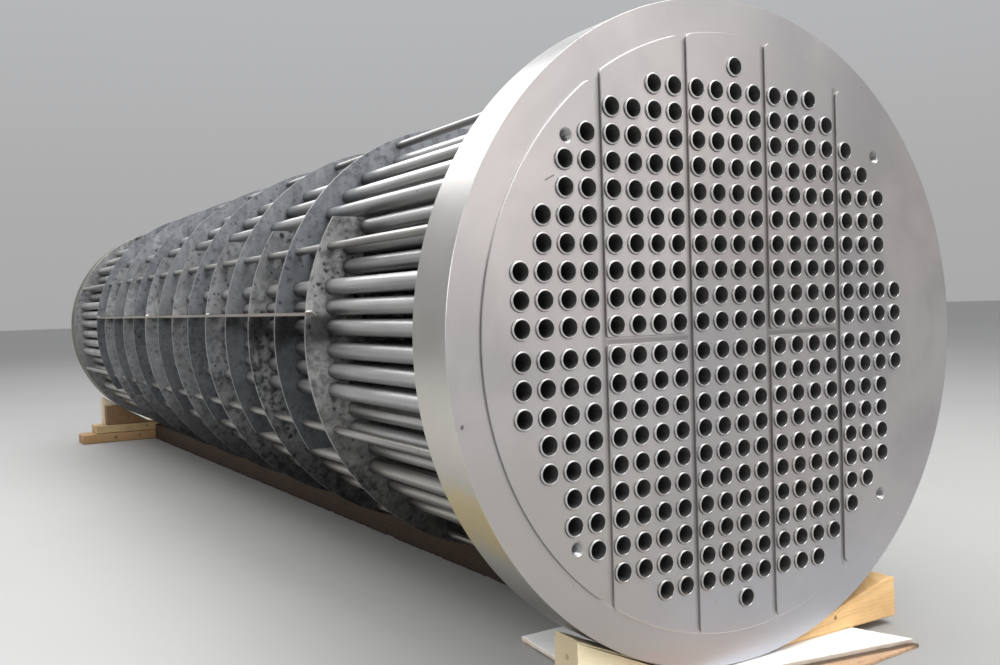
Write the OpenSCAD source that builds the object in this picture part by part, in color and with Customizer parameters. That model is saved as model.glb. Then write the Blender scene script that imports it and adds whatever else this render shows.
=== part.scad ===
// Tube bundle of a fixed shell and tube heat exchanger, laid down on timber.
// Everything is in millimetres. +Z is up, the bundle's axis runs along Y and
// the face of the stationary tubesheet looks towards -Y.
// The origin is on the level ground under the middle of the whole object.

/* [Tubes] */
// Outside diameter of a tube (one inch)
tube_od = 25.4; // [19.05:0.05:26]
// Wall thickness of a tube
tube_wall = 2.11; // [1.24:0.01:3.4]
// Distance between tube centres, the same both ways (square layout)
pitch = 31.75; // [31:0.05:33]
// Extra room where a partition plate passes between the tubes
lane = 4.4; // [3:0.1:6]
// How far a tube end stands out of its tubesheet
tube_proud = 3; // [1:0.5:4]
// Length of a tube from end to end
tube_length = 3133; // [3000:1:3300]

/* [Stationary tubesheet] */
// Outside diameter of the stationary tubesheet
sheet_od = 838; // [836:1:839]
// Thickness at the gasket ring
sheet_thick = 80; // [60:1:100]
// Diameter of the raised central face
raised_od = 753.6; // [750:0.1:760]
// Height of the raised central face above the gasket ring
raised_high = 3; // [2:0.5:4]
// Width of a partition groove
groove_w = 8; // [6:0.5:9]
// Corner radius of the raised panels
panel_r = 9; // [6:0.5:12]
// Chamfer along both edges of the rim
sheet_chamfer = 1.5; // [0.5:0.5:3]
// Diameter of a tube hole in a tubesheet
sheet_hole_d = 25.6; // [25.5:0.05:25.9]
// Tapping diameter of the four lifting holes
lift_hole_d = 14; // [12:0.5:16]
// Depth of the lifting holes
lift_hole_deep = 32; // [20:1:45]
// Distance between the lifting holes, side to side
lift_x = 518.4; // [510:0.1:525]
// Distance between the lifting holes, top to bottom
lift_z = 470; // [465:1:476]

/* [Floating tubesheet] */
// Outside diameter of the floating tubesheet
float_od = 732; // [728:1:732]
// Thickness of the floating tubesheet
float_thick = 80; // [60:1:100]

/* [Baffles] */
// Outside diameter of a baffle
baffle_od = 748; // [744:1:750]
// Thickness of a baffle
baffle_thick = 6; // [5:0.5:10]
// Diameter of a tube hole in a baffle
baffle_hole_d = 26.2; // [25.8:0.1:26.6]
// Height of a baffle's straight edge from the axis, midway between two rows
baffle_chord = 192.7; // [190:0.1:195]
// Distance from the tube mouths to the first baffle
first_baffle = 560; // [550:1:580]
// Distance from one baffle to the next
baffle_step = 149.2; // [145:0.1:155]

/* [Side strips] */
// Height of the side strips above the axis
strip_z = 40; // [38:1:46]
// Thickness of a side strip
strip_t = 5; // [4:0.5:8]
// Width of a side strip, along the radius
strip_w = 20; // [16:1:28]
// Room round a strip in its notches
strip_gap = 0.2; // [0.1:0.1:0.5]

/* [Tie rods] */
// Diameter of a tie rod
rod_d = 12.7; // [9.5:0.1:13]
// Diameter of a tie rod's hole in a baffle
rod_hole_d = 13.5; // [13.2:0.1:16]
// Diameter of a tie rod's blind hole in the back of the stationary tubesheet
rod_seat_d = 13.1; // [13.1:0.1:14]
// Depth of that blind hole
rod_seat_deep = 20; // [12:1:35]

/* [Timber] */
// Height of the bundle's axis above the ground
axis_h = 431.5; // [431.5:0.5:434]
// Thickness of the brown sheet on the ground
sheet_brown_t = 5; // [4:0.5:6]
// Thickness of the white-faced board on the brown sheet
board_white_t = 6.5; // [5:0.5:6.5]
// Slope of the left front chock
slope_l = 24.2; // [23:0.1:25]
// Slope of the right front chock
slope_r = 13.3; // [12.5:0.1:14]
// Slope of the rear chocks
slope_rear = 33.8; // [33:0.1:34.5]
// Slope of the rear blocks in front of them
slope_block = 31; // [30:0.1:32]
// Depth of a front chock along the axis
chock_deep = 50; // [40:1:60]
// Width of the long plank under the bundle
plank_w = 150; // [120:1:180]
// Length of the long plank under the bundle
plank_l = 2770; // [2600:1:2775]
// Turn of the long plank away from the bundle's axis
plank_turn = 1; // [0:0.1:2]
// Thickness of the lower rear plank
rear_low_t = 34; // [30:0.5:34]
// Thickness of the upper rear plank
rear_top_t = 31; // [27:0.5:31]

/* [Hidden] */
$fn = 64;
// the middle of the whole object, measured from the tube mouths
y_mid = 1536.5;
// the disc's centre line passes through column 11, half a pitch beside the
// middle of the tube layout
layout_x = -pitch / 2;
// first and last tube of each row in the upper half, from the top down
spans = [[11, 11], [7, 15], [5, 16], [4, 17], [3, 18], [3, 19],
         [2, 19], [2, 19], [1, 19], [1, 20], [1, 20]];
function span(i) = i < 11 ? spans[i] : spans[21 - i];
function lanes(j) = floor((j - 1) / 4);
function tx(j) = (j - 1) * pitch + lanes(j) * lane - (19 * pitch + 4 * lane) / 2 + layout_x;
function tz(i) = (21 * pitch + lane) / 2 - i * pitch - (i > 10 ? lane : 0);
// x of the partition groove after column 4, 8, 12 or 16
function gx(k) = (tx(4 * k) + tx(4 * k + 1)) / 2;

sheet_r = sheet_od / 2;
raised_r = raised_od / 2;
float_r = float_od / 2;
float_face = tube_length - tube_proud - float_thick;
ring_face = tube_proud + raised_high;

// a flat shape drawn in X and Z, made t thick from y0 (from the tube mouths) on
module plate(y0, t) {
    translate([0, y0 + t - y_mid, axis_h]) rotate([90, 0, 0]) linear_extrude(height = t) children();
}

// the places of the eight tie rods: empty places of the tube layout and their
// mirror images
module at_rods() {
    for (k = [-1, 1]) {
        for (i = [0, 21]) translate([k * tx(7), tz(i)]) children();
        for (i = [6, 15]) translate([k * tx(1), tz(i)]) children();
    }
}

// the tube positions of rows i0 to i1 and columns j0 to j1
module at_tubes(i0 = 0, i1 = 21, j0 = 1, j1 = 20) {
    for (i = [i0 : i1])
        for (j = [max(j0, span(i)[0]) : 1 : min(j1, span(i)[1])])
            translate([tx(j), tz(i)]) children();
}

// outline of a disc whose edges are chamfered, as a solid of revolution
module chamfered_disc(y0, r, t, c) {
    translate([0, y0 + t - y_mid, axis_h]) rotate([90, 0, 0]) rotate_extrude($fn = 180)
        polygon([[0, 0], [r - c, 0], [r, c], [r, t - c], [r - c, t], [0, t]]);
}

// corner points of a raised panel: the corner between the straight side at
// x = a (the panel lies on the side s = 1 or -1 of it) and the round edge,
// rounded by f, in the quadrant t = 1 (upper) or -1 (lower)
function corner(a, s, t, f, n = 6) =
    let (cx = a + s * f, cz = t * sqrt(pow(raised_r - f, 2) - cx * cx),
         a0 = s > 0 ? 180 : 0, a1 = atan2(cz, cx), w = a1 - a0,
         d = w > 180 ? w - 360 : (w < -180 ? w + 360 : w))
    [for (k = [0 : n]) [cx + f * cos(a0 + d * k / n), cz + f * sin(a0 + d * k / n)]];
// corner between a straight side at x = a and a straight side at z = b
function square_corner(a, b, s, t, f, n = 5) =
    let (cx = a + s * f, cz = b + t * f, a0 = s > 0 ? 180 : 0, a1 = t > 0 ? 270 : 90,
         w = a1 - a0, d = w > 180 ? w - 360 : (w < -180 ? w + 360 : w))
    [for (k = [0 : n]) [cx + f * cos(a0 + d * k / n), cz + f * sin(a0 + d * k / n)]];
function turned(v) = [for (k = [len(v) - 1 : -1 : 0]) v[k]];
// the round edge of the raised face between two angles
function round_edge(a0, a1, n) = [for (k = [1 : n - 1]) [raised_r * cos(a0 + (a1 - a0) * k / n), raised_r * sin(a0 + (a1 - a0) * k / n)]];
function ang(p) = atan2(p[1], p[0]);
function last(v) = v[len(v) - 1];

// a panel between x = a and x = b, over the whole height
module panel(a, b) {
    ul = corner(a, 1, 1, panel_r);
    ur = corner(b, -1, 1, panel_r);
    ll = corner(a, 1, -1, panel_r);
    lr = corner(b, -1, -1, panel_r);
    polygon(concat(ul, round_edge(ang(last(ul)), ang(last(ur)), 24), turned(ur),
                   lr, round_edge(ang(last(lr)), ang(last(ll)), 24), turned(ll)));
}
// the half of such a panel above (t = 1) or below (t = -1) the middle groove
module half_panel(a, b, t) {
    o1 = corner(a, 1, t, panel_r);
    o2 = corner(b, -1, t, panel_r);
    i1 = square_corner(a, t * groove_w / 2, 1, t, 5);
    i2 = square_corner(b, t * groove_w / 2, -1, t, 5);
    polygon(concat(o1, round_edge(ang(last(o1)), ang(last(o2)), 24), turned(o2), i2, turned(i1)));
}
// the panel outside the first (s = -1) or the last (s = 1) groove
module end_panel(a, s) {
    u = corner(a, s, 1, panel_r);
    l = corner(a, s, -1, panel_r);
    au = ang(last(u));
    al = ang(last(l));
    polygon(concat(u, round_edge(au, s > 0 ? al : al + 360, 72), turned(l)));
}
module raised_panels() {
    g = groove_w / 2;
    end_panel(gx(1) - g, -1);
    half_panel(gx(1) + g, gx(2) - g, 1);
    half_panel(gx(1) + g, gx(2) - g, -1);
    panel(gx(2) + g, gx(3) - g);
    half_panel(gx(3) + g, gx(4) - g, 1);
    half_panel(gx(3) + g, gx(4) - g, -1);
    end_panel(gx(4) + g, 1);
}

module front_tubesheet() color([0.66, 0.65, 0.63]) difference() {
    union() {
        chamfered_disc(ring_face, sheet_r, sheet_thick, sheet_chamfer);
        plate(tube_proud, raised_high + 1) raised_panels();
    }
    plate(tube_proud - 1, sheet_thick + raised_high + 3) at_tubes() circle(d = sheet_hole_d);
    plate(tube_proud - 1, lift_hole_deep + 1)
        for (sx = [-1, 1], sz = [-1, 1]) translate([sx * lift_x / 2, sz * lift_z / 2]) circle(d = lift_hole_d);
    plate(ring_face + sheet_thick - rod_seat_deep, rod_seat_deep + 1) at_rods() circle(d = rod_seat_d);
}

module rear_tubesheet() color([0.36, 0.36, 0.37]) difference() {
    chamfered_disc(float_face, float_r, float_thick, 1);
    plate(float_face - 1, float_thick + 2) at_tubes() circle(d = sheet_hole_d);
}

// one baffle, number n from the front: odd ones are open at the top and even
// ones at the bottom
module baffle(n) {
    s = n % 2 == 1 ? 1 : -1;
    i0 = s > 0 ? 5 : 0;
    i1 = s > 0 ? 21 : 16;
    color([0.33, 0.34, 0.37]) plate(first_baffle + (n - 1) * baffle_step, baffle_thick) difference() {
        circle(d = baffle_od, $fn = 180);
        translate([-400, s > 0 ? baffle_chord : -baffle_chord - 400]) square([800, 400]);
        at_tubes(i0, i1) circle(d = baffle_hole_d);
        for (k = [-1, 1]) {
            translate([k * tx(7), s > 0 ? tz(21) : tz(0)]) circle(d = rod_hole_d);
            for (i = [6, 15]) translate([k * tx(1), tz(i)]) circle(d = rod_hole_d);
        }
        for (k = [-1, 1]) translate([k * strip_x() - (k > 0 ? strip_gap : 40), strip_z - strip_t / 2 - strip_gap])
            square([40 + strip_gap, strip_t + 2 * strip_gap]);
    }
}
// inner edge of the side strips
function strip_x() = sqrt(pow(baffle_od / 2, 2) - pow(strip_z + strip_t / 2, 2)) - strip_w;

module side_strip(k) color([0.5, 0.49, 0.46])
    plate(first_baffle, 13 * baffle_step + baffle_thick)
        translate([k > 0 ? strip_x() : -strip_x() - strip_w, strip_z - strip_t / 2]) square([strip_w, strip_t]);

// two tie rods, from their blind holes in the back of the stationary tubesheet
// to the floating one
module tie_rods(pts) color([0.6, 0.59, 0.57])
    plate(ring_face + sheet_thick - rod_seat_deep + 0.5, float_face - ring_face - sheet_thick + rod_seat_deep - 0.5)
        for (p = pts) translate(p) circle(d = rod_d);

// the tubes of one column group (1 to 5) in the upper or lower half
module tubes(group, lower) color([0.58, 0.59, 0.6])
    plate(0, tube_length) at_tubes(lower ? 11 : 0, lower ? 21 : 10, 4 * group - 3, 4 * group)
        difference() { circle(d = tube_od); circle(d = tube_od - 2 * tube_wall); }

// a slab of board lying flat: corner points seen from above
module slab(z0, t, pts) translate([0, -y_mid, z0]) linear_extrude(height = t) polygon(pts);

module ground_sheet() color([0.55, 0.42, 0.3]) slab(0, sheet_brown_t, [[-187, -97], [246, -66], [132, 266], [-177, 266]]);
module white_board() color([0.92, 0.92, 0.92]) slab(sheet_brown_t, board_white_t, [[-200, 8], [241, -60], [126, 268], [-182, 259]]);

board_top = sheet_brown_t + board_white_t;
// height of the tangent at slope a under a disc of radius r, x from the axis
function slope_z(r, a, x) = axis_h - r * cos(a) + (x - r * sin(a)) * tan(a);
// x at which that tangent comes down to height z
function slope_x(r, a, z) = r * sin(a) - (axis_h - r * cos(a) - z) / tan(a);

// a chock seen from the front: its slope touches a disc of radius r, its outer
// end is at x1 and its top is level at most at z1; k is -1 on the left
module chock(y0, t, k, r, a, base, x1, z1) {
    low = slope_x(r, a, base + 1.5) ;
    flat_x = min(x1, slope_x(r, a, z1));
    top = min(z1, slope_z(r, a, x1));
    translate([0, y0 + t - y_mid, 0]) rotate([90, 0, 0]) linear_extrude(height = t)
        polygon([for (p = [[low, base], [x1, base], [x1, top], [flat_x, top], [low, base + 1.5]]) [k * p[0], p[1]]]);
}
module front_chock_left() color([0.8, 0.7, 0.5]) chock(20, chock_deep, -1, sheet_r + 0.3, slope_l, board_top, 252, 200);
module front_chock_right() color([0.8, 0.66, 0.45]) chock(17, chock_deep, 1, sheet_r + 0.3, slope_r, board_top, 304, 68);

module long_plank() color([0.36, 0.26, 0.17])
    translate([6, 1672 - y_mid, 0]) rotate([0, 0, plank_turn])
        translate([-plank_w / 2, -plank_l / 2, 0]) cube([plank_w, plank_l, axis_h - baffle_od / 2 - 0.5]);

rear_y = 3070;
module rear_plank_lower() color([0.68, 0.5, 0.32]) translate([-352, rear_y - y_mid, 0]) cube([696, 100, rear_low_t]);
module rear_plank_upper() color([0.66, 0.5, 0.3]) translate([-304, rear_y + 2 - y_mid, rear_low_t]) cube([618, 96, rear_top_t]);
rear_base = rear_low_t + rear_top_t;
module rear_block_left() color([0.45, 0.3, 0.18]) chock(rear_y + 2, 38, -1, float_r + 0.3, slope_block, rear_base, 264, 136);
module rear_block_right() color([0.45, 0.3, 0.18]) chock(rear_y + 2, 38, 1, float_r + 0.3, slope_block, rear_base, 264, 136);
module rear_chock_left() color([0.75, 0.66, 0.5]) chock(rear_y + 42, 40, -1, float_r + 0.3, slope_rear, rear_base, 271, 169);
module rear_chock_right() color([0.75, 0.66, 0.5]) chock(rear_y + 42, 40, 1, float_r + 0.3, slope_rear, rear_base, 271, 169);

front_tubesheet();
rear_tubesheet();
baffle(1);  // baffle_01
baffle(2);  // baffle_02
baffle(3);  // baffle_03
baffle(4);  // baffle_04
baffle(5);  // baffle_05
baffle(6);  // baffle_06
baffle(7);  // baffle_07
baffle(8);  // baffle_08
baffle(9);  // baffle_09
baffle(10);  // baffle_10
baffle(11);  // baffle_11
baffle(12);  // baffle_12
baffle(13);  // baffle_13
baffle(14);  // baffle_14
tubes(1, false);  // tubes_upper_1
tubes(2, false);  // tubes_upper_2
tubes(3, false);  // tubes_upper_3
tubes(4, false);  // tubes_upper_4
tubes(5, false);  // tubes_upper_5
tubes(1, true);  // tubes_lower_1
tubes(2, true);  // tubes_lower_2
tubes(3, true);  // tubes_lower_3
tubes(4, true);  // tubes_lower_4
tubes(5, true);  // tubes_lower_5
side_strip(-1);  // side_strip_left
side_strip(1);  // side_strip_right
tie_rods([[tx(7), tz(0)], [-tx(7), tz(0)]]);  // tie_rods_top
tie_rods([[tx(7), tz(21)], [-tx(7), tz(21)]]);  // tie_rods_bottom
tie_rods([[tx(1), tz(6)], [tx(1), tz(15)]]);  // tie_rods_left
tie_rods([[-tx(1), tz(6)], [-tx(1), tz(15)]]);  // tie_rods_right
ground_sheet();
white_board();
front_chock_left();
front_chock_right();
long_plank();
rear_plank_lower();
rear_plank_upper();
rear_block_left();
rear_block_right();
rear_chock_left();
rear_chock_right();
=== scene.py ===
import math
import random

import bmesh
import bpy
import numpy as np
from mathutils import Matrix, Vector, noise
from mathutils.geometry import delaunay_2d_cdt


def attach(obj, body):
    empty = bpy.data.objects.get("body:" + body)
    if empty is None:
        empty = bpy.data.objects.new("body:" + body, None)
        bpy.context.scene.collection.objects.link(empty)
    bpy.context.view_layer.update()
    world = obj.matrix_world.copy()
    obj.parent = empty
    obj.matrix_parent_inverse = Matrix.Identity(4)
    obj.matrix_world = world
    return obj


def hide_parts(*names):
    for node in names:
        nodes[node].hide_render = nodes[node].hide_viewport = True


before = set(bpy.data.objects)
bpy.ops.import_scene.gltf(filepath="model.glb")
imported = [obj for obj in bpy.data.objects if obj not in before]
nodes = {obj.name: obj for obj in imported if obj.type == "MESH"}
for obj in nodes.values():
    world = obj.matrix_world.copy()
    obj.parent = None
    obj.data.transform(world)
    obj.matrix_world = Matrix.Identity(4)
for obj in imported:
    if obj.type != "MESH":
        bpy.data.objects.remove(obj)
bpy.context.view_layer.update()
random.seed(7)
rng = np.random.default_rng(7)

# ------------------------------------------------------------------ sizes
MM = 0.001
Y_MID = 1536.5          # tube mouths lie at y = -Y_MID
AXIS = 431.5
PITCH, LANE = 31.75, 4.4
TUBE_R, BORE_R, TUBE_L = 12.7, 10.59, 3133.0
SHEET_R, RAISED_R = 419.0, 376.8
FLOAT_R = 366.0
BAFFLE_R, FIRST, STEP, THICK, STRIP_Z = 374.0, 560.0, 149.2, 6.0, 40.0
SPANS = [(11, 11), (7, 15), (5, 16), (4, 17), (3, 18), (3, 19), (2, 19), (2, 19), (1, 19), (1, 20), (1, 20)]


def span(i):
    return SPANS[i] if i < 11 else SPANS[21 - i]


def tx(j):
    return (j - 1) * PITCH + ((j - 1) // 4) * LANE - (19 * PITCH + 4 * LANE) / 2 - PITCH / 2


def tz(i):
    return (21 * PITCH + LANE) / 2 - i * PITCH - (LANE if i > 10 else 0)


TUBES = [(i, j, tx(j), tz(i)) for i in range(22) for j in range(span(i)[0], span(i)[1] + 1)]
GROOVE_X = [(tx(4 * k) + tx(4 * k + 1)) / 2 for k in range(1, 5)]


# ------------------------------------------------------------------ meshes
class Build:
    """Collects vertices (millimetres, in the bundle's own y from the tube mouths and z from the axis) and faces."""

    def __init__(self):
        self.v, self.f, self.m, self.tone = [], [], [], []

    def verts(self, pts, tone=0.5):
        n = len(self.v)
        self.v.extend(pts)
        self.tone.extend([tone] * len(pts))
        return n

    def face(self, idx, mat=0):
        self.f.append(tuple(idx))
        self.m.append(mat)

    def loft(self, loops, mat=0, tone=0.5, closed=True):
        """Joins equal loops of points with quads, each loop to the next."""
        n = len(loops[0])
        base = [self.verts(l, tone) for l in loops]
        for k in range(len(loops) - 1):
            a, b = base[k], base[k + 1]
            mk = mat[k] if isinstance(mat, (list, tuple)) else mat
            for i in range(n if closed else n - 1):
                j = (i + 1) % n
                self.face((a + i, a + j, b + j, b + i), mk)
        return base

    def make(self, name, mats, sharp=20.0, bundle=True, replaces=(), smooth=True):
        v = np.array(self.v, float)
        if bundle:
            v = v + np.array([0.0, -Y_MID, AXIS])
        me = bpy.data.meshes.new(name)
        me.from_pydata((v * MM).tolist(), [], self.f)
        for m in mats:
            me.materials.append(m)
        me.polygons.foreach_set("material_index", self.m)
        at = me.attributes.new("tone", "FLOAT", "POINT")
        at.data.foreach_set("value", np.array(self.tone, np.float32))
        me.validate()
        # loops that coincide become one, so that every piece is a closed skin
        bm = bmesh.new()
        bm.from_mesh(me)
        bmesh.ops.remove_doubles(bm, verts=bm.verts, dist=2e-6)
        bmesh.ops.recalc_face_normals(bm, faces=bm.faces)
        if bm.calc_volume(signed=True) < 0:
            bmesh.ops.reverse_faces(bm, faces=bm.faces)
        bm.to_mesh(me)
        bm.free()
        if smooth:
            me.shade_smooth()
            me.set_sharp_from_angle(angle=math.radians(sharp))
            for f in me.polygons:
                if f.loop_total > 4:
                    f.use_smooth = False
        me.update()
        ob = bpy.data.objects.new(name, me)
        bpy.context.scene.collection.objects.link(ob)
        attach(ob, "root")
        if replaces:
            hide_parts(*replaces)
        return ob


def circle(cx, cz, r, n, y, ph=0.0, cw=False):
    a = [ph + 2 * math.pi * k / n for k in range(n)]
    if cw:
        a = a[::-1]
    return [(cx + r * math.cos(t), y, cz + r * math.sin(t)) for t in a]


def flat_face(b, loops, y, up, mat=0, tone=0.5):
    """Fills a flat region at y between an outer loop and the loops inside it. Each loop is a list of (x, z);
    up is -1 where the face looks along -y."""
    pts, ids, edges = [], [], []
    for li, loop in enumerate(loops):
        n0 = len(pts)
        pts.extend(Vector(p) for p in loop)
        ids.extend([li] * len(loop))
        edges.extend((n0 + k, n0 + (k + 1) % len(loop)) for k in range(len(loop)))
    out, _, faces, orig, _, _ = delaunay_2d_cdt(pts, edges, [], 0, 1e-7)
    own = [ids[o[0]] if o else -1 for o in orig]
    base = b.verts([(p.x, y, p.y) for p in out], tone)
    for f in faces:
        k = [own[i] for i in f]
        if k[0] > 0 and k[0] == k[1] == k[2]:
            continue
        p, q, r = (out[i] for i in f)
        ccw = (q.x - p.x) * (r.y - p.y) - (q.y - p.y) * (r.x - p.x) > 0
        # seen along +y with x to the right and z up, counter-clockwise looks along -y
        if ccw != (up < 0):
            f = f[::-1]
        b.face([base + i for i in f], mat)
    return base


def arc_pts(cx, cz, r, a0, a1, n):
    return [(cx + r * math.cos(a0 + (a1 - a0) * k / n), cz + r * math.sin(a0 + (a1 - a0) * k / n)) for k in range(n + 1)]


# ------------------------------------------------------------------ node materials
def new_mat(name):
    m = bpy.data.materials.new(name)
    m.use_nodes = True
    nt = m.node_tree
    nt.nodes.clear()
    out = nt.nodes.new("ShaderNodeOutputMaterial")
    bs = nt.nodes.new("ShaderNodeBsdfPrincipled")
    nt.links.new(bs.outputs[0], out.inputs[0])
    return m, nt, bs


class N:
    """Short forms for building node trees."""

    def __init__(self, nt):
        self.nt = nt

    def node(self, kind, **props):
        n = self.nt.nodes.new(kind)
        for k, v in props.items():
            setattr(n, k, v)
        return n

    def link(self, a, b):
        self.nt.links.new(a, b)

    def put(self, sock, v):
        if isinstance(v, bpy.types.NodeSocket):
            self.link(v, sock)
        elif v is not None:
            if isinstance(v, (tuple, list)) and len(v) == 3 and sock.type == "RGBA":
                v = (*v, 1.0)
            sock.default_value = v

    def obj(self):
        return self.node("ShaderNodeTexCoord").outputs["Object"]

    def map(self, vec, scale=(1, 1, 1), loc=(0, 0, 0), rot=(0, 0, 0)):
        n = self.node("ShaderNodeMapping")
        self.put(n.inputs["Vector"], vec)
        n.inputs["Scale"].default_value = scale
        n.inputs["Location"].default_value = loc
        n.inputs["Rotation"].default_value = rot
        return n.outputs[0]

    def noise(self, vec, scale, detail=3.0, rough=0.5, dist=0.0, out="Fac"):
        n = self.node("ShaderNodeTexNoise")
        self.put(n.inputs["Vector"], vec)
        n.inputs["Scale"].default_value = scale
        n.inputs["Detail"].default_value = detail
        n.inputs["Roughness"].default_value = rough
        n.inputs["Distortion"].default_value = dist
        return n.outputs[out]

    def voronoi(self, vec, scale, feature="F1", rand=1.0, out="Distance"):
        n = self.node("ShaderNodeTexVoronoi", feature=feature)
        self.put(n.inputs["Vector"], vec)
        n.inputs["Scale"].default_value = scale
        n.inputs["Randomness"].default_value = rand
        return n.outputs[out]

    def math(self, op, a, b=None, c=None, clamp=False):
        n = self.node("ShaderNodeMath", operation=op, use_clamp=clamp)
        self.put(n.inputs[0], a)
        if b is not None:
            self.put(n.inputs[1], b)
        if c is not None:
            self.put(n.inputs[2], c)
        return n.outputs[0]

    def vmath(self, op, a, b=None):
        n = self.node("ShaderNodeVectorMath", operation=op)
        self.put(n.inputs[0], a)
        if b is not None:
            self.put(n.inputs[1], b)
        return n.outputs["Value"] if op in ("LENGTH", "DISTANCE", "DOT_PRODUCT") else n.outputs["Vector"]

    def sep(self, vec):
        n = self.node("ShaderNodeSeparateXYZ")
        self.put(n.inputs[0], vec)
        return n.outputs

    def comb(self, x, y, z):
        n = self.node("ShaderNodeCombineXYZ")
        for s, v in zip(n.inputs, (x, y, z)):
            self.put(s, v)
        return n.outputs[0]

    def rng(self, v, a, b, c=0.0, d=1.0, smooth=False):
        n = self.node("ShaderNodeMapRange", interpolation_type="SMOOTHSTEP" if smooth else "LINEAR")
        self.put(n.inputs["Value"], v)
        for s, x in zip(("From Min", "From Max", "To Min", "To Max"), (a, b, c, d)):
            self.put(n.inputs[s], x)
        return n.outputs[0]

    def mix(self, fac, a, b, blend="MIX"):
        n = self.node("ShaderNodeMix", data_type="RGBA", blend_type=blend)
        self.put(n.inputs["Factor"], fac)
        self.put(n.inputs[6], a)
        self.put(n.inputs[7], b)
        return n.outputs[2]

    def ramp(self, fac, stops):
        n = self.node("ShaderNodeValToRGB")
        self.put(n.inputs[0], fac)
        e = n.color_ramp.elements
        while len(e) < len(stops):
            e.new(0.5)
        for k, (p, c) in enumerate(stops):
            e[k].position = p
            e[k].color = (*c, 1.0)
        return n.outputs[0]

    def bump(self, h, strength=0.3, dist=0.001, normal=None):
        n = self.node("ShaderNodeBump")
        n.inputs["Strength"].default_value = strength
        n.inputs["Distance"].default_value = dist
        self.put(n.inputs["Height"], h)
        if normal is not None:
            self.put(n.inputs["Normal"], normal)
        return n.outputs[0]

    def attr(self, name):
        return self.node("ShaderNodeAttribute", attribute_name=name).outputs["Fac"]

    def normal(self):
        return self.node("ShaderNodeNewGeometry").outputs["Normal"]

    def dull(self, fac, col, k):
        """Darkens a colour to k times itself where fac is 1."""
        return self.mix(fac, col, self.mix(1.0, col, (k, k, k), "MULTIPLY"))

    def line(self, p, a, b, half, soft, wob=None):
        """1 on the line from a to b (metres), half thick on each side, fading out over soft."""
        ab = [b[k] - a[k] for k in range(3)]
        ll = sum(v * v for v in ab)
        pa = self.vmath("SUBTRACT", p, tuple(a))
        t = self.math("MULTIPLY", self.vmath("DOT_PRODUCT", pa, tuple(ab)), 1.0 / ll, clamp=True)
        q = self.vmath("MULTIPLY", self.comb(t, t, t), tuple(ab))
        dd = self.vmath("DISTANCE", pa, q)
        if wob is not None:
            dd = self.math("ADD", dd, wob)
        return self.rng(dd, half + soft, half, 0.0, 1.0, smooth=True)


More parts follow.
